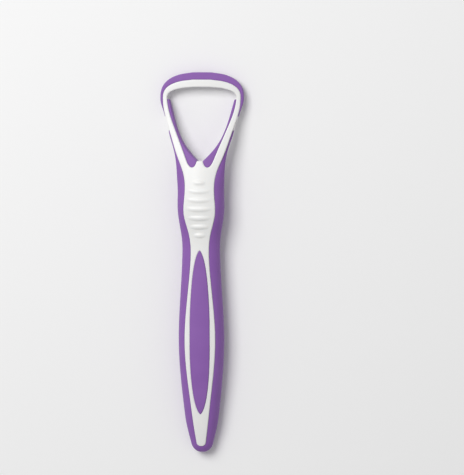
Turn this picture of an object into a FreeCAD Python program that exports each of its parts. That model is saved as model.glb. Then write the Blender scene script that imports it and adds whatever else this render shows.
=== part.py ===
import FreeCAD, Part
import math
import os

# A tongue scraper moulded in two shots: a hard core with a triangular head, and soft zones locked into it.
# X is the width, Y runs from the tail to the bow, Z is up. The thumb side is on top and the tool lies on its
# back, on a flat land near the tail and on the hard scraping edge of the bow. Millimetres.

# Stations along the tool, each measured from the one before it, starting at the tail
TAIL_TO_TAPER = 14.0
TAPER_TO_BELLY = 29.0
BELLY_TO_WAIST = 35.0
WAIST_TO_GRIP = 15.0
GRIP_TO_NECK = 8.0
NECK_TO_CROTCH = 9.2
CROTCH_TO_SHOULDER = 23.4

# Width of the hard front panel and head at the stations
PANEL_TAIL_WIDTH = 2.4
PANEL_TAPER_WIDTH = 6.2
PANEL_BELLY_WIDTH = 11.6
PANEL_WAIST_WIDTH = 6.8
PANEL_GRIP_WIDTH = 12.2
PANEL_NECK_WIDTH = 10.5
YOKE_WIDTH = 16.2
SHOULDER_WIDTH = 29.4

# Width of the soft flank on each side of the front panel at the stations
TAIL_FLANK = 2.1
TAPER_FLANK = 3.3
BELLY_FLANK = 2.8
WAIST_FLANK = 3.7
GRIP_FLANK = 2.7
NECK_FLANK = 3.5
YOKE_FLANK = 1.35

# Distance from each side of the tool to the hard back panel at the stations
TAIL_BACK_MARGIN = 1.9
TAPER_BACK_MARGIN = 3.4
BELLY_BACK_MARGIN = 4.0
WAIST_BACK_MARGIN = 4.1
GRIP_BACK_MARGIN = 3.6
YOKE_BACK_MARGIN = 2.95

# Height of the front over the resting surface, on the middle line
TAIL_FRONT = 5.6
TAPER_FRONT = 8.2
BELLY_FRONT = 10.2
WAIST_FRONT = 9.8
GRIP_FRONT = 11.6
NECK_FRONT = 11.0
CROTCH_FRONT = 9.5
SHOULDER_FRONT = 5.0
BOW_FRONT = 4.6

# Height of the back over the resting surface, and how deep the resting land is cut into it
TAIL_BACK = 0.7
LAND_DEPTH = 0.35
BELLY_BACK = 0.3
WAIST_BACK = 1.6
GRIP_BACK = 0.9
NECK_BACK = 2.0
CROTCH_BACK = 4.5
BOW_BACK = 1.3

# Shape of the handle's section: crown radii of the front, and how full the flanks are
CROWN_HANDLE = 24.0
CROWN_HEAD = 120.0
BACK_CROWN = 0.5
FLANK_FULLNESS = 0.55
SIDE_LEVEL = 0.48
TAIL_RADIUS = 3.0
TAIL_FRONT_DROP = 0.8
TAIL_BACK_LIFT = 0.7

# Hard core: front plate, back panel and spine
PANEL_PROUD = 0.2
PANEL_THICKNESS = 3.0
PANEL_INSET = 2.6
BACK_THICKNESS = 2.4
BACK_INSET = 4.6
SPINE_INSET = 4.0
BAND_THICKNESS = 2.2
SEAM_OVERLAP = 0.7
SEAM_LIMIT = 0.6
YOKE_BLEND = 6.0
HEAD_DROP = 10.0

# Head: arms, bow and the loop between them
ARM_ROOT_WIDTH = 3.1
ARM_TIP_WIDTH = 1.6
ARM_SWEEP_LOW = 0.40
ARM_SWEEP_HIGH = 0.80
BEAM_WIDTH = 2.8
BEAM_INNER_RISE = 4.0
BOW_SQUARENESS = 2.5
TOOTH_WIDTH = 2.3
TOOTH_FLARE = 0.7

# Soft zones of the head
SOFT_DROP = 0.25
LINER_THICKNESS = 1.05
LINER_TIP = 0.9
LINER_DRAFT = 0.08
LINER_SHORT = 0.6
LOBE_DEPTH = 2.4
LOBE_FILL = 0.5
VEE_LENGTH = 4.0
FLANK_LENGTH = 11.3
FLANK_TIP = 0.35
FLANK_HEEL = 0.8
LIP_SIDE = 1.0
LIP_CREST = 2.7
LIP_LENGTH = 7.0
LIP_TIP = 0.25

# Hard scraping edge and soft wiping fins under the bow, as shares of the beam from its inner side
EDGE_INNER = 0.06
EDGE_OUTER = 0.26
LAMELLA_INNER = 0.34
LAMELLA_OUTER = 0.88
FIN_SHARE = 0.18
FIN_CLEARANCE = 0.15
LAMELLA_DEPTH = 1.2
LAMELLA_SIDE = 4.2
EDGE_SIDE = 3.2

# Leaf inlay in the front of the handle
LEAF_TAPER_GAP = 1.0
LEAF_WAIST_GAP = 1.1
LEAF_MARGIN = 2.05
LEAF_POINT = 0.65
LEAF_DRAW = 0.08
INLAY_DEPTH = 1.3
INLAY_PROUD = 0.2

# Ribbed finger pad in the back of the grip
PAD_LENGTH = 19.0
PAD_MARGIN = 1.7
PAD_DEPTH = 1.4
PAD_END = 3.2
PAD_RIB_PITCH = 2.1
PAD_RIB_RADIUS = 0.8
PAD_RIB_HEIGHT = 0.35

# Thumb ribs on the front of the grip
RIB_COUNT = 7
RIB_PITCH = 3.25
RIB_OFFSET = 0.7
RIB_MARGIN = 1.5
RIB_END_LENGTH = 3.8
RIB_RADIUS = 1.3
RIB_HEIGHT = 0.4
RIB_BOW = 0.35

# Locks between the soft zones and the core
BRIDGE_RADIUS = 1.2
BRIDGE_PITCH = 16.0
LOCK_RADIUS = 0.9
LOCK_DEPTH = 1.2
LOCK_PITCH = 12.0

# Spacing of the sections that the curved surfaces run through, and the reach of the cutting blocks
SECTION_STEP = 7.0
TAIL_STEP = 2.2
CROWN_STEP = 10.0
TAIL_TURNS = 6
ARCH_STEPS = 8
REACH = 40.0

# A Bezier curve whose two inner points hang down together sags by three quarters of their drop
BEZIER_SAG = 0.75

# Share of an edge's length over which the directions of its ends are measured
TANGENT_SHARE = 0.001

# Places of the stations
TAPER = TAIL_TO_TAPER
BELLY = TAPER + TAPER_TO_BELLY
WAIST = BELLY + BELLY_TO_WAIST
GRIP = WAIST + WAIST_TO_GRIP
NECK = GRIP + GRIP_TO_NECK
CROTCH = NECK + NECK_TO_CROTCH
SHOULDER = CROTCH + CROTCH_TO_SHOULDER
BEAM_RISE = BEAM_INNER_RISE + BEAM_WIDTH
BOW_RISE = BEAM_RISE + LIP_CREST
TOP = SHOULDER + BOW_RISE
BOW_WIDTH = SHOULDER_WIDTH + 2 * LIP_SIDE
FLANK_END = CROTCH + FLANK_LENGTH
LINER_END = SHOULDER - LINER_SHORT
VEE_TOP = CROTCH + VEE_LENGTH
LINER_MIDDLE = (VEE_TOP + LINER_END) / 2


def smooth(knots, end_slope=None):
    """A curve through (place, value) knots that never swings past them, as a function of the place."""
    places = [place for place, value in knots]
    values = [value for place, value in knots]
    count = len(knots) - 1
    steps = [(values[i + 1] - values[i]) / (places[i + 1] - places[i]) for i in range(count)]
    slopes = [steps[0]]
    for before, after in zip(steps, steps[1:]):
        slopes.append(0.0 if before * after <= 0 else 2 * before * after / (before + after))
    slopes.append(steps[-1] if end_slope is None else end_slope)

    def value_at(place):
        i = 0
        while i < count - 1 and place > places[i + 1]:
            i += 1
        span = places[i + 1] - places[i]
        t = (place - places[i]) / span
        rise = values[i] * (1 + 2 * t) * (1 - t) ** 2 + values[i + 1] * t * t * (3 - 2 * t)
        return rise + span * (slopes[i] * t * (1 - t) ** 2 - slopes[i + 1] * t * t * (1 - t))

    return value_at


ARM_SPREAD = (SHOULDER_WIDTH - YOKE_WIDTH) / 2
panel_half = smooth([
    (0.0, PANEL_TAIL_WIDTH / 2),
    (TAPER, PANEL_TAPER_WIDTH / 2),
    (BELLY, PANEL_BELLY_WIDTH / 2),
    (WAIST, PANEL_WAIST_WIDTH / 2),
    (GRIP, PANEL_GRIP_WIDTH / 2),
    (NECK, PANEL_NECK_WIDTH / 2),
    (CROTCH, YOKE_WIDTH / 2),
    (CROTCH + CROTCH_TO_SHOULDER / 3, YOKE_WIDTH / 2 + ARM_SWEEP_LOW * ARM_SPREAD),
    (CROTCH + 2 * CROTCH_TO_SHOULDER / 3, YOKE_WIDTH / 2 + ARM_SWEEP_HIGH * ARM_SPREAD),
    (SHOULDER, SHOULDER_WIDTH / 2),
], end_slope=0.0)
body_half = smooth([
    (0.0, panel_half(0.0) + TAIL_FLANK),
    (TAPER, panel_half(TAPER) + TAPER_FLANK),
    (BELLY, panel_half(BELLY) + BELLY_FLANK),
    (WAIST, panel_half(WAIST) + WAIST_FLANK),
    (GRIP, panel_half(GRIP) + GRIP_FLANK),
    (NECK, panel_half(NECK) + NECK_FLANK),
    (CROTCH, panel_half(CROTCH) + YOKE_FLANK),
    (FLANK_END, panel_half(FLANK_END) + FLANK_TIP),
])
back_half = smooth([
    (0.0, body_half(0.0) - TAIL_BACK_MARGIN),
    (TAPER, body_half(TAPER) - TAPER_BACK_MARGIN),
    (BELLY, body_half(BELLY) - BELLY_BACK_MARGIN),
    (WAIST, body_half(WAIST) - WAIST_BACK_MARGIN),
    (GRIP, body_half(GRIP) - GRIP_BACK_MARGIN),
    (CROTCH, body_half(CROTCH) - YOKE_BACK_MARGIN),
    (FLANK_END, panel_half(FLANK_END) - FLANK_HEEL),
])
front_z = smooth([
    (0.0, TAIL_FRONT),
    (TAPER, TAPER_FRONT),
    (BELLY, BELLY_FRONT),
    (WAIST, WAIST_FRONT),
    (GRIP, GRIP_FRONT),
    (NECK, NECK_FRONT),
    (CROTCH, CROTCH_FRONT),
    (SHOULDER, SHOULDER_FRONT),
    (TOP, BOW_FRONT),
], end_slope=0.0)
back_z = smooth([
    (0.0, TAIL_BACK),
    (TAPER, -LAND_DEPTH),
    (BELLY, BELLY_BACK),
    (WAIST, WAIST_BACK),
    (GRIP, GRIP_BACK),
    (NECK, NECK_BACK),
    (CROTCH, CROTCH_BACK),
    (SHOULDER, BOW_BACK),
    (TOP, BOW_BACK),
], end_slope=0.0)
crown_radius = smooth([(0.0, CROWN_HANDLE), (NECK, CROWN_HANDLE), (SHOULDER, CROWN_HEAD), (TOP, CROWN_HEAD)])


def arm_inner(y):
    """Half the width between the hard arms at the place y."""
    share = (y - CROTCH) / CROTCH_TO_SHOULDER
    return panel_half(y) - ARM_ROOT_WIDTH - share * (ARM_TIP_WIDTH - ARM_ROOT_WIDTH)


def sag(y, x):
    """How far the crowned front has dropped at the distance x from the middle line."""
    return x * x / (2 * crown_radius(y))


def tail_round(y):
    """How much of the tail radius is rounded away at the place y, from 1 at the very end to 0."""
    if y >= TAIL_RADIUS:
        return 0.0
    return 1 - math.sqrt(1 - (1 - y / TAIL_RADIUS) ** 2)


def head_share(y):
    """How far the hard front has grown from a plate on the handle to the full depth of the head, 0 to 1."""
    t = min(max((y - NECK) / YOKE_BLEND, 0.0), 1.0)
    return t * t * (3 - 2 * t)


def frame_floor(y):
    """Height of the underside of the hard front."""
    share = head_share(y)
    return (1 - share) * (front_z(y) - PANEL_THICKNESS) + share * back_z(y)


def vec(x, y, z=0.0):
    return FreeCAD.Vector(x, y, z)


def line(x1, y1, x2, y2):
    return Part.makeLine(vec(x1, y1), vec(x2, y2))


def bezier(*points):
    curve = Part.BezierCurve()
    curve.setPoles(list(points))
    return curve.toShape()


def spaced(start, end, step=SECTION_STEP):
    """Evenly spaced places from start to end, about one step apart."""
    count = max(2, round((end - start) / step))
    return [start + (end - start) * i / count for i in range(count + 1)]


def through(points, start, end):
    """A smooth edge through points that leaves and arrives in the given directions."""
    curve = Part.BSplineCurve()
    curve.interpolate(Points=points, InitialTangent=start, FinalTangent=end)
    return curve.toShape()


def along(half, start, end):
    """The right-hand edge x = half(y) of an outline, from the place start to the place end."""
    points = [vec(half(y), y) for y in spaced(start, end)]
    small = TANGENT_SHARE * (end - start)
    leave = vec(half(start + small) - half(start), small)
    arrive = vec(half(end) - half(end - small), small)
    return through(points, leave, arrive)


def arch(half, rise):
    """The right-hand half of a flattened arch that stands on the shoulders, from its foot to its top."""
    power = 2 / BOW_SQUARENESS
    points = []
    for i in range(ARCH_STEPS):
        turn = math.radians(90 * i / ARCH_STEPS)
        points.append(vec(half * math.cos(turn) ** power, SHOULDER + rise * math.sin(turn) ** power))
    points.append(vec(0, SHOULDER + rise))
    return through(points, vec(0, 1), vec(-1, 0))


def cap(half, start):
    """A round end for an outline, from the middle line out to its side, and the place where it ends."""
    end = start + half(start)
    side = half(end)
    low = vec(FLANK_FULLNESS * side, start)
    high = vec(side, end - FLANK_FULLNESS * (end - start))
    return bezier(vec(0, start), low, high, vec(side, end)), end


def symmetric_face(edges):
    """A flat face whose right half is bounded by the edges and the middle line."""
    twins = [edge.mirror(vec(0, 0), vec(1, 0)) for edge in edges]
    return Part.Face(Part.Wire(Part.__sortEdges__(edges + twins)))


def prism(face, low=-REACH, high=REACH):
    """A face of the plan drawn out upright between two heights."""
    lowered = face.copy()
    lowered.translate(vec(0, 0, low))
    return lowered.extrude(vec(0, 0, high - low))


def above(height):
    """Everything over the height(y) of a profile that runs along the tool."""
    points = [vec(-REACH, y, height(y)) for y in spaced(0.0, TOP)]
    curve = Part.BSplineCurve()
    curve.interpolate(Points=points)
    corners = [points[-1], vec(-REACH, TOP, REACH), vec(-REACH, 0, REACH), points[0]]
    edges = [curve.toShape()] + [Part.makeLine(a, b) for a, b in zip(corners, corners[1:])]
    return Part.Face(Part.Wire(edges)).extrude(vec(2 * REACH, 0))


def crowned_block(offset=0.0):
    """Everything under the crowned front, which the offset raises or lowers."""
    wires = []
    for y in spaced(-CROWN_STEP, TOP + CROWN_STEP, CROWN_STEP):
        place = min(max(y, 0.0), TOP)
        height = front_z(place) + offset
        edge = height - sag(place, BOW_WIDTH)
        left = vec(-BOW_WIDTH, y, edge)
        right = vec(BOW_WIDTH, y, edge)
        foot_right = vec(BOW_WIDTH, y, edge - REACH)
        foot_left = vec(-BOW_WIDTH, y, edge - REACH)
        top = bezier(left, vec(0, y, 2 * height - edge), right)
        sides = [(right, foot_right), (foot_right, foot_left), (foot_left, left)]
        wires.append(Part.Wire([top] + [Part.makeLine(a, b) for a, b in sides]))
    return Part.makeLoft(wires, True)


def section(y, inset=0.0):
    """The handle's outline across the tool at the place y, pulled in by the inset, and its side level."""
    cut = TAIL_RADIUS * tail_round(y)
    side = body_half(y) - cut - inset
    seam = min(panel_half(y) - SEAM_OVERLAP, SEAM_LIMIT * side)
    heel = min(back_half(y) - SEAM_OVERLAP, SEAM_LIMIT * side)
    front = front_z(y) - PANEL_PROUD - TAIL_FRONT_DROP * cut - inset
    rear = back_z(y) + TAIL_BACK_LIFT * cut + inset
    seam_z = front - sag(y, seam)
    heel_z = rear + BACK_CROWN * heel / back_half(y)
    side_z = heel_z + SIDE_LEVEL * (seam_z - heel_z)

    def flank(sign):
        """The upper and the lower quarter of one flank, from the front seam to the back seam."""
        lean = (side - seam) * FLANK_FULLNESS
        tuck = (side - heel) * FLANK_FULLNESS
        upper = bezier(
            vec(sign * seam, y, seam_z),
            vec(sign * (seam + lean), y, seam_z - lean * seam / crown_radius(y)),
            vec(sign * side, y, side_z + FLANK_FULLNESS * (seam_z - side_z)),
            vec(sign * side, y, side_z),
        )
        lower = bezier(
            vec(sign * side, y, side_z),
            vec(sign * side, y, side_z - FLANK_FULLNESS * (side_z - heel_z)),
            vec(sign * (heel + tuck), y, heel_z),
            vec(sign * heel, y, heel_z),
        )
        return upper, lower

    upper_right, lower_right = flank(1)
    upper_left, lower_left = flank(-1)
    top = bezier(vec(-seam, y, seam_z), vec(0, y, 2 * front - seam_z), vec(seam, y, seam_z))
    bottom = bezier(vec(heel, y, heel_z), vec(0, y, 2 * rear - heel_z), vec(-heel, y, heel_z))
    return Part.Wire([top, upper_right, lower_right, bottom, lower_left, upper_left]), side_z


def handle_body():
    """The whole handle over its soft band, from the tail to the ends of the flanks on the arms."""
    turns = [TAIL_RADIUS * (1 - math.cos(math.radians(90 * i / TAIL_TURNS))) for i in range(TAIL_TURNS)]
    places = turns + spaced(TAIL_RADIUS, TAPER, TAIL_STEP)[:-1] + spaced(TAPER, FLANK_END)
    return Part.makeLoft([section(y)[0] for y in places], True)


def spine_body():
    """The hard spine inside the handle, one band thickness under its surface."""
    return Part.makeLoft([section(y, BAND_THICKNESS)[0] for y in spaced(SPINE_INSET, NECK)], True)


def panel_outline():
    """The hard front in plan, filled: panel, yoke, arms and the beam of the bow."""
    end_cap, start = cap(panel_half, PANEL_INSET)
    return symmetric_face([end_cap, along(panel_half, start, SHOULDER), arch(SHOULDER_WIDTH / 2, BEAM_RISE)])


def lobe():
    """The round pocket of one liner at the crotch, from the tooth to the foot of the arm."""
    drop = LOBE_DEPTH / BEZIER_SAG
    tooth = TOOTH_WIDTH / 2
    foot = arm_inner(CROTCH)
    lean = (arm_inner(CROTCH + 1) - foot) * drop
    inner = vec(tooth + TOOTH_FLARE, CROTCH - drop)
    outer = vec(foot - lean, CROTCH - drop)
    return bezier(vec(tooth, CROTCH), inner, outer, vec(foot, CROTCH))


def loop_outline():
    """The opening of the hard head in plan, with the pockets that the liners fill."""
    tooth = line(0, CROTCH, TOOTH_WIDTH / 2, CROTCH)
    lower = along(arm_inner, CROTCH, LINER_END)
    upper = along(arm_inner, LINER_END, SHOULDER)
    return symmetric_face([tooth, lobe(), lower, upper, bow_arch(0.0)])


def liner_outline(height):
    """The soft liner of the right arm at a height: the lobe at the crotch and the strip along the arm."""

    def inner(y, thickness):
        """A knot of the liner's inner side, which draws back from the back of the head to its front."""
        return y, arm_inner(y) - thickness + LINER_DRAFT * (height - back_z(y))

    hole_half = smooth([
        (CROTCH, TOOTH_WIDTH / 2),
        inner(VEE_TOP, LINER_THICKNESS + LOBE_FILL),
        inner(LINER_MIDDLE, LINER_THICKNESS),
        inner(LINER_END, LINER_TIP),
    ])
    tip = line(arm_inner(LINER_END), LINER_END, hole_half(LINER_END), LINER_END)
    edges = [lobe(), along(arm_inner, CROTCH, LINER_END), tip, along(hole_half, CROTCH, LINER_END)]
    outline = Part.Wire(Part.__sortEdges__(edges))
    outline.translate(vec(0, 0, height))
    return outline


def back_outline():
    """The hard back panel in plan, from its round end near the tail to the yoke."""
    end_cap, start = cap(back_half, BACK_INSET)
    end = NECK + YOKE_BLEND
    return symmetric_face([end_cap, along(back_half, start, end), line(back_half(end), end, 0, end)])


def lip_outline():
    """The bow in plan with its soft lip, filled, from the feet of the lip upwards."""
    start = SHOULDER - LIP_LENGTH

    def half(y):
        share = (y - start) / LIP_LENGTH
        swell = share * share * (3 - 2 * share)
        return panel_half(y) + LIP_TIP + swell * (LIP_SIDE - LIP_TIP)

    foot = line(0, start, half(start), start)
    return symmetric_face([foot, along(half, start, SHOULDER), arch(BOW_WIDTH / 2, BOW_RISE)])


def leaf_outline(start, widest, end, half):
    """A pointed oval in plan between two places, with its widest place and half its width."""
    lower = bezier(
        vec(0, start),
        vec(LEAF_POINT * half, start + LEAF_DRAW * (widest - start)),
        vec(half, widest - FLANK_FULLNESS * (widest - start)),
        vec(half, widest),
    )
    upper = bezier(
        vec(half, widest),
        vec(half, widest + FLANK_FULLNESS * (end - widest)),
        vec(LEAF_POINT * half, end - LEAF_DRAW * (end - widest)),
        vec(0, end),
    )
    return symmetric_face([lower, upper])


def lock_pegs(places, low, high):
    """Round upright lock pegs, one at each place, between two heights that depend on the place."""
    return [Part.makeCylinder(LOCK_RADIUS, high(y) - low(y), vec(0, y, low(y))) for y in places]


def bridges():
    """Soft cross bridges through the spine, which lock both flanks of the band to it."""
    pegs = []
    for y in spaced(TAPER, GRIP, BRIDGE_PITCH):
        side_z = section(y)[1]
        reach = body_half(y) - BAND_THICKNESS / 2
        pegs.append(Part.makeCylinder(BRIDGE_RADIUS, 2 * reach, vec(-reach, y, side_z), vec(1, 0)))
    return pegs


def handle_inlay():
    """The pocket in the front of the handle, and the soft leaf that fills it, on its lock pegs."""

    def floor(y):
        """Height of the bottom of the pocket."""
        return front_z(y) - INLAY_DEPTH

    start = TAPER + LEAF_TAPER_GAP
    end = WAIST - LEAF_WAIST_GAP
    leaf = leaf_outline(start, BELLY, end, PANEL_BELLY_WIDTH / 2 - LEAF_MARGIN)
    pocket = prism(leaf).common(above(floor))
    places = spaced(start + LOCK_PITCH, end - LOCK_PITCH, LOCK_PITCH)
    locks = lock_pegs(places, lambda y: floor(y) - LOCK_DEPTH, lambda y: floor(y) + INLAY_DEPTH / 2)
    cavity = pocket.fuse(locks)
    return cavity, cavity.common(crowned_block(INLAY_PROUD))


def back_pad(body):
    """The pocket in the back of the grip, and the ribbed soft pad that fills it, on its lock pegs."""

    def roof(y):
        """Height of the top of the pocket."""
        return back_z(y) + PAD_DEPTH

    start = GRIP - PAD_LENGTH / 2
    end = GRIP + PAD_LENGTH / 2
    width = 2 * (back_half(GRIP) - PAD_MARGIN)
    under = prism(leaf_outline(start, GRIP, end, width / 2)).cut(above(roof))
    places = spaced(GRIP - PAD_LENGTH / 4, GRIP + PAD_LENGTH / 4, LOCK_PITCH)
    locks = lock_pegs(places, lambda y: roof(y) - PAD_DEPTH / 2, lambda y: roof(y) + LOCK_DEPTH)
    cavity = under.fuse(locks)
    ribs = []
    for y in spaced(start + PAD_END, end - PAD_END, PAD_RIB_PITCH):
        centre = back_z(y) - PAD_RIB_HEIGHT + PAD_RIB_RADIUS
        ribs.append(Part.makeCylinder(PAD_RIB_RADIUS, width, vec(-width / 2, y, centre), vec(1, 0)))
    ribs = Part.makeCompound(ribs).common(under)
    return cavity, cavity.common(body).fuse(ribs.Solids)


def thumb_ribs():
    """Raised ribs across the front of the grip, bowed towards the tail and sunk at their ends."""
    long_half = PANEL_GRIP_WIDTH / 2 - RIB_MARGIN
    ribs = []
    for i in range(RIB_COUNT):
        y = GRIP - RIB_OFFSET + (i - (RIB_COUNT - 1) / 2) * RIB_PITCH
        half = RIB_END_LENGTH / 2 if i in (0, RIB_COUNT - 1) else panel_half(y) - RIB_MARGIN
        bow = RIB_BOW * (half / long_half) ** 2
        crest = vec(0, y, front_z(y) + RIB_HEIGHT - RIB_RADIUS)
        right = vec(half, y + bow, front_z(y) - sag(y, half) - RIB_RADIUS)
        left = vec(-half, y + bow, right.z)
        path = Part.Arc(left, crest, right).toShape()
        ring = path.Curve
        tube = Part.Face(Part.Wire([Part.makeCircle(RIB_RADIUS, right, path.tangentAt(path.LastParameter))]))
        turn = math.degrees(path.LastParameter - path.FirstParameter)
        ribs.append(tube.revolve(ring.Center, ring.Axis * -1, turn))
    return ribs


def bow_arch(share):
    """An arch inside the beam of the bow, at the share of the way from its inner to its outer side."""
    half = arm_inner(SHOULDER) + share * ARM_TIP_WIDTH
    return arch(half, BEAM_INNER_RISE + share * (BEAM_RISE - BEAM_INNER_RISE))


def bow_strip(inner, outer, side, low, high):
    """A strip of the bow between two shares of its beam and two heights, clear of its ends by the side."""
    half = arm_inner(SHOULDER)
    foot = line(half + inner * ARM_TIP_WIDTH, SHOULDER, half + outer * ARM_TIP_WIDTH, SHOULDER)
    face = symmetric_face([foot, bow_arch(inner), bow_arch(outer)])
    span = SHOULDER_WIDTH - 2 * side
    box = Part.makeBox(span, BOW_RISE, high - low, vec(-span / 2, SHOULDER, low))
    return prism(face, low, high).common(box)


def hard_edge():
    """The hard scraping edge under the inner side of the bow."""
    return bow_strip(EDGE_INNER, EDGE_OUTER, EDGE_SIDE, 0.0, BOW_BACK + LAMELLA_DEPTH)


def bow_lamella():
    """The groove in the back of the bow, and its soft strip with two wiping fins beside the hard edge."""
    root = BOW_BACK + LAMELLA_DEPTH
    groove = bow_strip(LAMELLA_INNER, LAMELLA_OUTER, LAMELLA_SIDE, 0.0, root)
    strip = bow_strip(LAMELLA_INNER, LAMELLA_OUTER, LAMELLA_SIDE, FIN_CLEARANCE, root)
    gap = bow_strip(LAMELLA_INNER + FIN_SHARE, LAMELLA_OUTER - FIN_SHARE, EDGE_SIDE, 0.0, BOW_BACK)
    return groove, strip.cut(gap)


def build():
    """All pieces by name, in the frame whose Y starts at the tail."""
    body = handle_body()
    spine = spine_body()
    panel = panel_outline()
    ground = Part.makeBox(2 * REACH, 2 * TOP, REACH, vec(-REACH, -TOP / 2, -REACH))
    pegs = bridges()
    inlay_pocket, inlay = handle_inlay()
    pad_pocket, pad = back_pad(body)
    groove, lamella = bow_lamella()

    front = prism(panel.cut(loop_outline()).Faces[0]).common(crowned_block()).common(above(frame_floor))
    back = prism(back_outline()).common(body).cut(above(lambda y: back_z(y) + BACK_THICKNESS))
    core = front.cut(groove).fuse([spine.cut(pegs), back, hard_edge()] + thumb_ribs())
    core = core.cut(ground).cut(inlay_pocket).cut(pad_pocket)

    over_panel = prism(panel).common(above(lambda y: frame_floor(y) - HEAD_DROP * head_share(y)))
    band = body.cut([over_panel, spine, back, ground])
    band = band.fuse([peg.common(spine) for peg in pegs])

    soft_top = crowned_block(-SOFT_DROP)
    soft_floor = above(lambda y: back_z(y) + SOFT_DROP)
    liner = Part.makeLoft([liner_outline(0.0), liner_outline(NECK_FRONT)], True, True)
    liner = liner.common(soft_top).common(soft_floor)
    lip = prism(lip_outline()).cut(prism(panel)).common(soft_top).common(soft_floor)
    return {
        "hard_core": core,
        "side_grip_band": band,
        "handle_inlay": inlay,
        "back_finger_pad": pad,
        "right_arm_liner": liner,
        "left_arm_liner": liner.mirror(vec(0, 0), vec(1, 0)),
        "bow_soft_lip": lip,
        "bow_lamella": lamella,
    }


if __name__ == "__main__":
    os.makedirs("parts", exist_ok=True)
    for name, shape in build().items():
        shape.translate(vec(0, -TOP / 2))
        shape.exportStep("parts/" + name + ".step")
        print(name, shape.isValid(), len(shape.Solids), round(shape.Volume, 2))
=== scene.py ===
import math

import bmesh
import bpy
from bpy.props import FloatProperty, FloatVectorProperty, PointerProperty
from mathutils import Matrix, Vector


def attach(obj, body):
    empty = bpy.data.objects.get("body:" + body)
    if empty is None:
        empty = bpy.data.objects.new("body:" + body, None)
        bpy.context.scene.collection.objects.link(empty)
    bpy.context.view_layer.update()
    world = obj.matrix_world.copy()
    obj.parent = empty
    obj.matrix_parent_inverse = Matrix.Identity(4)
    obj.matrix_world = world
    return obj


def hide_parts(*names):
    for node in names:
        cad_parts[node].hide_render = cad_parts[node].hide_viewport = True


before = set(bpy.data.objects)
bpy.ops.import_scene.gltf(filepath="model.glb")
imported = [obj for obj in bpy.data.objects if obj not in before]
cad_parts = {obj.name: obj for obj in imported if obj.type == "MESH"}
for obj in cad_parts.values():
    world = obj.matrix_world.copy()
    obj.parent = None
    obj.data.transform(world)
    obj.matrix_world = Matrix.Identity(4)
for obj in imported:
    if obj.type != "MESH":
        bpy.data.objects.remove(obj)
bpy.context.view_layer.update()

bl_info = {
    "name": "Tongue Scraper Looks",
    "version": (1, 0, 0),
    "blender": (4, 5, 0),
    "location": "3D View > Sidebar > Scraper",
    "description": "Moulded surfaces and finishes of a two-shot tongue scraper, built around its solids",
    "category": "Object",
}

MM = 0.001
BODY = "root"
HARD_SLOT = "moulded_polypropylene"
SOFT_SLOT = "soft_elastomer"
HARD_FINISH = "Polypropylene, polished mould"
SOFT_FINISH = "Thermoplastic elastomer, grained mould"

# A square edge gets the radius r from (SMOOTH_REACH * r / mesh spacing) squared rounds of smoothing
SMOOTH_REACH = 1.6

# Points of a solid's mesh that lie closer than this, in millimetres, become one point
MERGE_DISTANCE = 0.002

# Least and most roughness of each surface
WHITE_ROUGHNESS = (0.34, 0.48)
PURPLE_ROUGHNESS = (0.52, 0.68)
BOARD_ROUGHNESS = (0.82, 0.95)

# Depth of the fine relief on the two mouldings, and the share of it that shows
PEEL_DEPTH = 0.006 * MM
PEEL_SHARE = 0.25
GRAIN_DEPTH = 0.05 * MM
GRAIN_SHARE = 0.35

# Flow marks are this many times longer along the part than across it
FLOW_STRETCH = 4.0

# How far light wanders under the white skin, and the spacing of the tooth of the floor's paint
WHITE_SCATTER = 1.2 * MM
BOARD_TOOTH = 2.0 * MM

# Colour inputs and colour output of Blender's Mix node, whose names its other kinds share
MIX_FIRST = 6
MIX_SECOND = 7
MIX_RESULT = 2

# Places and sides of the soft boxes in metres, and the height of the camera's picture in millimetres
KEY_PLACE = Vector((-0.36, 0.46, 0.81))
KEY_SIDE = 0.55
FILL_PLACE = Vector((0.80, -0.30, 0.70))
FILL_SIDE = 0.90
PICTURE_HEIGHT = 36.0


def linear(hex_colour):
    """Linear red, green and blue of an sRGB hex colour."""
    values = [int(hex_colour[i:i + 2], 16) / 255 for i in (1, 3, 5)]
    return tuple(v / 12.92 if v <= 0.04045 else ((v + 0.055) / 1.055) ** 2.4 for v in values)


def length(name, description, millimetres):
    """A length that a user can change, given in millimetres and kept in metres."""
    return FloatProperty(
        name=name,
        description=description,
        default=millimetres * MM,
        min=0.0,
        precision=5,
        unit="LENGTH",
    )


def colour(name, description, hex_colour):
    """A colour that a user can change, given as sRGB hex."""
    return FloatVectorProperty(
        name=name,
        description=description,
        default=linear(hex_colour),
        size=3,
        subtype="COLOR",
    )


class ScraperShape(bpy.types.PropertyGroup):
    """Sizes of the moulded surfaces."""

    pitch: length("Mesh", "Spacing of the mesh over all pieces but the wiping fins", 0.13)
    fin_pitch: length("Fin mesh", "Spacing of the mesh over the wiping fins", 0.09)
    core_round: length("Hard edge radius", "Radius that the mould leaves on the edges of the hard core", 0.40)
    soft_round: length("Soft edge radius", "Radius on the edges of the band round the handle", 0.45)
    trim_round: length("Trim edge radius", "Radius on the edges of the small soft zones", 0.28)
    fin_round: length("Fin edge radius", "Radius on the edges of the wiping fins", 0.09)
    kept_faces: FloatProperty(
        name="Kept faces",
        description="Share of the even mesh's faces that stays, most of them where the surface bends",
        default=0.11,
        min=0.05,
        max=1.0,
        subtype="FACTOR",
    )


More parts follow.
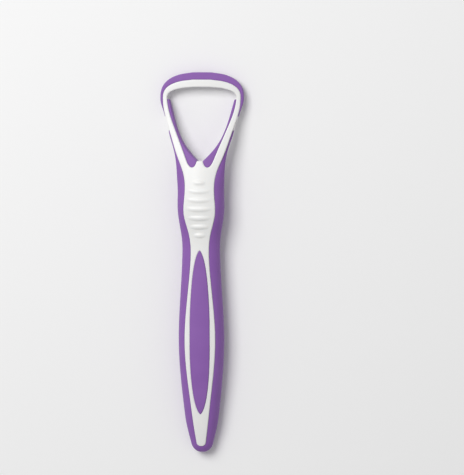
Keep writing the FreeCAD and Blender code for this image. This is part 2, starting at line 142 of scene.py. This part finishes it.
class ScraperFinish(bpy.types.PropertyGroup):
    """Colours and grains of the two mouldings."""

    white: colour("White", "Polypropylene, where the skin is glossy", "#f1f1ef")
    white_flow: colour("White flow", "Polypropylene, in the greyer and duller flow marks", "#e9e9e8")
    purple: colour("Purple", "Elastomer, as moulded", "#8f60af")
    purple_deep: colour("Purple deep", "Elastomer, where the pigment is denser", "#8355a4")
    flow_width: length("Flow width", "Width of the flow marks in the white moulding", 5.0)
    peel_width: length("Peel width", "Spacing of the faint orange peel on the white moulding", 1.1)
    mottle_width: length("Mottle width", "Size of the patches of denser pigment", 9.0)
    grain_width: length("Grain width", "Spacing of the spark-eroded grain on the soft zones", 0.45)


class ScraperStage(bpy.types.PropertyGroup):
    """The camera, the lamps and the floor."""

    distance: length("Camera distance", "From the lens to the middle of the picture", 970.0)
    target: FloatVectorProperty(
        name="Camera target",
        description="Middle of the picture, in the part's frame",
        default=(0.0117, 0.0100, 0.006),
        size=3,
        subtype="TRANSLATION",
        unit="LENGTH",
    )
    to_right: FloatProperty(
        name="To the right",
        description="Camera's angle to the right of straight above",
        default=math.radians(7.5),
        subtype="ANGLE",
    )
    to_head: FloatProperty(
        name="To the head",
        description="Camera's angle towards the head",
        default=math.radians(4.5),
        subtype="ANGLE",
    )
    lens: FloatProperty(
        name="Lens",
        description="Focal length in millimetres for a picture 36 mm high",
        default=196.8,
    )
    key_power: FloatProperty(
        name="Key light",
        description="Power of the soft box at the upper left",
        default=7.1,
        unit="POWER",
    )
    fill_power: FloatProperty(
        name="Fill light",
        description="Power of the wide soft box on the right",
        default=0.5,
        unit="POWER",
    )
    sky: FloatProperty(
        name="Studio",
        description="Strength of the pale studio around the part",
        default=0.38,
    )
    floor_colour: colour("Floor", "Pale floor", "#f4f4f4")
    floor_size: length("Floor size", "Side of the floor", 4000.0)


def add(tree, kind, links=None, **settings):
    """One shader node with its settings. Each linked input takes a value or the socket that feeds it."""
    node = tree.nodes.new(kind)
    for name, value in settings.items():
        setattr(node, name, value)
    for socket, source in (links or {}).items():
        if isinstance(source, bpy.types.NodeSocket):
            tree.links.new(source, node.inputs[socket])
        else:
            node.inputs[socket].default_value = source
    return node


def new_material(name):
    """An empty node material, with its tree and its output node."""
    material = bpy.data.materials.new(name)
    material.use_nodes = True
    tree = material.node_tree
    tree.nodes.clear()
    return material, tree, tree.nodes.new("ShaderNodeOutputMaterial")


def polypropylene(finish):
    """Polypropylene from a polished mould: a waxy white with a soft gloss and faint flow marks along it."""
    material, tree, output = new_material(HARD_FINISH)
    place = add(tree, "ShaderNodeTexCoord").outputs["Object"]
    drawn = add(tree, "ShaderNodeMapping", {
        "Vector": place,
        "Scale": (1.0, 1 / FLOW_STRETCH, 1.0),
    }).outputs["Vector"]
    flow = add(tree, "ShaderNodeTexNoise", {
        "Vector": drawn,
        "Scale": 1 / finish.flow_width,
        "Detail": 3.0,
    }).outputs["Fac"]
    peel = add(tree, "ShaderNodeTexNoise", {
        "Vector": place,
        "Scale": 1 / finish.peel_width,
        "Detail": 1.0,
    }).outputs["Fac"]
    tint = add(tree, "ShaderNodeMix", {
        "Factor": flow,
        MIX_FIRST: (*finish.white, 1.0),
        MIX_SECOND: (*finish.white_flow, 1.0),
    }, data_type="RGBA").outputs[MIX_RESULT]
    gloss = add(tree, "ShaderNodeMapRange", {
        "Value": flow,
        "To Min": WHITE_ROUGHNESS[0],
        "To Max": WHITE_ROUGHNESS[1],
    }).outputs["Result"]
    skin = add(tree, "ShaderNodeBump", {
        "Height": peel,
        "Strength": PEEL_SHARE,
        "Distance": PEEL_DEPTH,
    }).outputs["Normal"]
    surface = add(tree, "ShaderNodeBsdfPrincipled", {
        "Base Color": tint,
        "Roughness": gloss,
        "Normal": skin,
        "IOR": 1.49,
        "Subsurface Weight": 0.25,
        "Subsurface Radius": (1.0, 0.95, 0.9),
        "Subsurface Scale": WHITE_SCATTER,
    })
    tree.links.new(surface.outputs["BSDF"], output.inputs["Surface"])
    return material


def elastomer(finish):
    """Thermoplastic elastomer from a spark-eroded mould: a dry, matt purple with a fine grain."""
    material, tree, output = new_material(SOFT_FINISH)
    place = add(tree, "ShaderNodeTexCoord").outputs["Object"]
    mottle = add(tree, "ShaderNodeTexNoise", {
        "Vector": place,
        "Scale": 1 / finish.mottle_width,
        "Detail": 2.0,
    }).outputs["Fac"]
    # A real spark-eroded grain is about 0.1 mm; it is drawn coarser so that it shows
    grain = add(tree, "ShaderNodeTexNoise", {
        "Vector": place,
        "Scale": 1 / finish.grain_width,
        "Detail": 2.0,
    }).outputs["Fac"]
    tint = add(tree, "ShaderNodeMix", {
        "Factor": mottle,
        MIX_FIRST: (*finish.purple, 1.0),
        MIX_SECOND: (*finish.purple_deep, 1.0),
    }, data_type="RGBA").outputs[MIX_RESULT]
    dry = add(tree, "ShaderNodeMapRange", {
        "Value": grain,
        "To Min": PURPLE_ROUGHNESS[0],
        "To Max": PURPLE_ROUGHNESS[1],
    }).outputs["Result"]
    skin = add(tree, "ShaderNodeBump", {
        "Height": grain,
        "Strength": GRAIN_SHARE,
        "Distance": GRAIN_DEPTH,
    }).outputs["Normal"]
    surface = add(tree, "ShaderNodeBsdfPrincipled", {
        "Base Color": tint,
        "Roughness": dry,
        "Normal": skin,
        "IOR": 1.46,
        "Sheen Weight": 0.04,
        "Sheen Roughness": 0.5,
    })
    tree.links.new(surface.outputs["BSDF"], output.inputs["Surface"])
    return material


def studio_floor(stage):
    """Matt painted board: an even pale grey with hardly any sheen."""
    material, tree, output = new_material("Board, matt paint")
    place = add(tree, "ShaderNodeTexCoord").outputs["Object"]
    tooth = add(tree, "ShaderNodeTexNoise", {
        "Vector": place,
        "Scale": 1 / BOARD_TOOTH,
        "Detail": 2.0,
    }).outputs["Fac"]
    dry = add(tree, "ShaderNodeMapRange", {
        "Value": tooth,
        "To Min": BOARD_ROUGHNESS[0],
        "To Max": BOARD_ROUGHNESS[1],
    }).outputs["Result"]
    surface = add(tree, "ShaderNodeBsdfPrincipled", {
        "Base Color": (*stage.floor_colour, 1.0),
        "Roughness": dry,
        "Specular IOR Level": 0.2,
    })
    tree.links.new(surface.outputs["BSDF"], output.inputs["Surface"])
    return material


FINISHES = {HARD_SLOT: (HARD_FINISH, polypropylene), SOFT_SLOT: (SOFT_FINISH, elastomer)}


def finish_of(slot):
    """The material of a record slot, made the first time that it is asked for."""
    name, make = FINISHES[slot]
    return bpy.data.materials.get(name) or make(bpy.context.scene.scraper_finish)


def apply_modifiers(piece):
    """The piece's modifiers, made part of its mesh."""
    shown = piece.evaluated_get(bpy.context.evaluated_depsgraph_get())
    mesh = bpy.data.meshes.new_from_object(shown)
    piece.modifiers.clear()
    piece.data = mesh


def moulded_copy(node, name, pitch, radius):
    """A piece in the shape of a solid, evenly meshed, with its edges rounded as a mould rounds them."""
    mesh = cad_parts[node].data.copy()
    mesh.transform(Matrix.Scale(1 / MM, 4))
    skin = bmesh.new()
    skin.from_mesh(mesh)
    bmesh.ops.remove_doubles(skin, verts=skin.verts, dist=MERGE_DISTANCE)
    skin.to_mesh(mesh)
    skin.free()
    piece = bpy.data.objects.new(name, mesh)
    bpy.context.scene.collection.objects.link(piece)
    even = piece.modifiers.new("Even mesh", "REMESH")
    even.mode = "VOXEL"
    even.voxel_size = pitch / MM
    soften = piece.modifiers.new("Rounded edges", "SMOOTH")
    soften.iterations = max(1, round((SMOOTH_REACH * radius / pitch) ** 2))
    lighter = piece.modifiers.new("Lighter mesh", "DECIMATE")
    lighter.ratio = bpy.context.scene.scraper_shape.kept_faces
    apply_modifiers(piece)
    piece.data.transform(Matrix.Scale(MM, 4))
    return piece


def hand_over(piece, node, slot):
    """The piece takes the place of its solid, with the finish of its slot."""
    piece.data.name = piece.name
    piece.data.materials.clear()
    piece.data.materials.append(finish_of(slot))
    piece.data.shade_smooth()
    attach(piece, BODY)
    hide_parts(node)


class SCRAPER_OT_hard_core(bpy.types.Operator):
    """Build the white hard core with its thumb ribs, yoke, arms and bow"""

    bl_idname = "scraper.hard_core"
    bl_label = "Hard Core"

    def execute(self, context):
        shape = context.scene.scraper_shape
        piece = moulded_copy("hard_core", "white_core", shape.pitch, shape.core_round)
        hand_over(piece, "hard_core", HARD_SLOT)
        return {"FINISHED"}


class SCRAPER_OT_side_grip_band(bpy.types.Operator):
    """Build the soft band round both flanks and the tail"""

    bl_idname = "scraper.side_grip_band"
    bl_label = "Side Grip Band"

    def execute(self, context):
        shape = context.scene.scraper_shape
        piece = moulded_copy("side_grip_band", "purple_band", shape.pitch, shape.soft_round)
        hand_over(piece, "side_grip_band", SOFT_SLOT)
        return {"FINISHED"}


class SCRAPER_OT_handle_inlay(bpy.types.Operator):
    """Build the soft leaf in the front of the handle"""

    bl_idname = "scraper.handle_inlay"
    bl_label = "Handle Inlay"

    def execute(self, context):
        shape = context.scene.scraper_shape
        piece = moulded_copy("handle_inlay", "purple_leaf", shape.pitch, shape.trim_round)
        hand_over(piece, "handle_inlay", SOFT_SLOT)
        return {"FINISHED"}


class SCRAPER_OT_back_finger_pad(bpy.types.Operator):
    """Build the ribbed soft pad in the back of the grip"""

    bl_idname = "scraper.back_finger_pad"
    bl_label = "Back Finger Pad"

    def execute(self, context):
        shape = context.scene.scraper_shape
        piece = moulded_copy("back_finger_pad", "purple_finger_pad", shape.pitch, shape.trim_round)
        hand_over(piece, "back_finger_pad", SOFT_SLOT)
        return {"FINISHED"}


class SCRAPER_OT_arm_liners(bpy.types.Operator):
    """Build the soft liners inside both arms, with their lobes at the crotch"""

    bl_idname = "scraper.arm_liners"
    bl_label = "Arm Liners"

    def execute(self, context):
        shape = context.scene.scraper_shape
        for side in ("left", "right"):
            node = side + "_arm_liner"
            piece = moulded_copy(node, "purple_" + side + "_liner", shape.pitch, shape.trim_round)
            hand_over(piece, node, SOFT_SLOT)
        return {"FINISHED"}


class SCRAPER_OT_bow_soft_lip(bpy.types.Operator):
    """Build the soft lip over the outer side of the bow"""

    bl_idname = "scraper.bow_soft_lip"
    bl_label = "Bow Soft Lip"

    def execute(self, context):
        shape = context.scene.scraper_shape
        piece = moulded_copy("bow_soft_lip", "purple_bow_lip", shape.pitch, shape.trim_round)
        hand_over(piece, "bow_soft_lip", SOFT_SLOT)
        return {"FINISHED"}


class SCRAPER_OT_bow_lamella(bpy.types.Operator):
    """Build the soft wiping fins in the back of the bow"""

    bl_idname = "scraper.bow_lamella"
    bl_label = "Bow Lamella"

    def execute(self, context):
        shape = context.scene.scraper_shape
        piece = moulded_copy("bow_lamella", "purple_wiping_fins", shape.fin_pitch, shape.fin_round)
        hand_over(piece, "bow_lamella", SOFT_SLOT)
        return {"FINISHED"}


def aim(thing, target):
    """Turn a camera or lamp at a target, with the part's head upwards in its view."""
    back = (thing.location - target).normalized()
    right = Vector((0.0, 1.0, 0.0)).cross(back).normalized()
    up = back.cross(right)
    turn = Matrix((right, up, back)).transposed().to_4x4()
    thing.matrix_world = Matrix.Translation(thing.location) @ turn


def soft_box(name, place, side, power):
    """A square soft box lamp aimed at the middle of the part."""
    lamp = bpy.data.lights.new(name, "AREA")
    lamp.size = side
    lamp.energy = power
    box = bpy.data.objects.new(name, lamp)
    bpy.context.scene.collection.objects.link(box)
    box.location = place
    aim(box, Vector((0.0, 0.0, 0.0)))


class SCRAPER_OT_stage(bpy.types.Operator):
    """Build the floor, the lamps, the studio and the camera"""

    bl_idname = "scraper.stage"
    bl_label = "Stage"

    def execute(self, context):
        scene = context.scene
        stage = scene.scraper_stage
        half = stage.floor_size / 2
        corners = [(-half, -half, 0), (half, -half, 0), (half, half, 0), (-half, half, 0)]
        mesh = bpy.data.meshes.new("floor")
        mesh.from_pydata(corners, [], [(0, 1, 2, 3)])
        mesh.materials.append(studio_floor(stage))
        floor = bpy.data.objects.new("floor", mesh)
        scene.collection.objects.link(floor)

        soft_box("Key soft box", KEY_PLACE, KEY_SIDE, stage.key_power)
        soft_box("Fill soft box", FILL_PLACE, FILL_SIDE, stage.fill_power)
        world = bpy.data.worlds.new("Pale studio")
        world.use_nodes = True
        background = world.node_tree.nodes["Background"]
        background.inputs["Color"].default_value = (1.0, 1.0, 1.0, 1.0)
        background.inputs["Strength"].default_value = stage.sky
        scene.world = world
        scene.view_settings.view_transform = "Standard"

        camera_data = bpy.data.cameras.new("Camera")
        camera_data.sensor_fit = "VERTICAL"
        camera_data.sensor_height = PICTURE_HEIGHT
        camera_data.lens = stage.lens
        camera = bpy.data.objects.new("Camera", camera_data)
        scene.collection.objects.link(camera)
        lean = Vector((math.tan(stage.to_right), math.tan(stage.to_head), 1.0)).normalized()
        target = Vector(stage.target)
        camera.location = target + stage.distance * lean
        aim(camera, target)
        scene.camera = camera
        return {"FINISHED"}


OPERATORS = (
    SCRAPER_OT_hard_core,
    SCRAPER_OT_side_grip_band,
    SCRAPER_OT_handle_inlay,
    SCRAPER_OT_back_finger_pad,
    SCRAPER_OT_arm_liners,
    SCRAPER_OT_bow_soft_lip,
    SCRAPER_OT_bow_lamella,
    SCRAPER_OT_stage,
)


class SCRAPER_PT_panel(bpy.types.Panel):
    """The scraper's pieces and their settings"""

    bl_label = "Tongue Scraper"
    bl_space_type = "VIEW_3D"
    bl_region_type = "UI"
    bl_category = "Scraper"

    def draw(self, context):
        scene = context.scene
        for operator in OPERATORS:
            self.layout.operator(operator.bl_idname)
        for group in (scene.scraper_shape, scene.scraper_finish, scene.scraper_stage):
            column = self.layout.column()
            for name in group.__annotations__:
                column.prop(group, name)


CLASSES = (ScraperShape, ScraperFinish, ScraperStage, *OPERATORS, SCRAPER_PT_panel)


def register():
    for cls in CLASSES:
        bpy.utils.register_class(cls)
    bpy.types.Scene.scraper_shape = PointerProperty(type=ScraperShape)
    bpy.types.Scene.scraper_finish = PointerProperty(type=ScraperFinish)
    bpy.types.Scene.scraper_stage = PointerProperty(type=ScraperStage)


def unregister():
    del bpy.types.Scene.scraper_stage
    del bpy.types.Scene.scraper_finish
    del bpy.types.Scene.scraper_shape
    for cls in reversed(CLASSES):
        bpy.utils.unregister_class(cls)


def main():
    register()
    bpy.ops.scraper.hard_core()
    bpy.ops.scraper.side_grip_band()
    bpy.ops.scraper.handle_inlay()
    bpy.ops.scraper.back_finger_pad()
    bpy.ops.scraper.arm_liners()
    bpy.ops.scraper.bow_soft_lip()
    bpy.ops.scraper.bow_lamella()
    bpy.ops.scraper.stage()


if __name__ == "__main__":
    main()
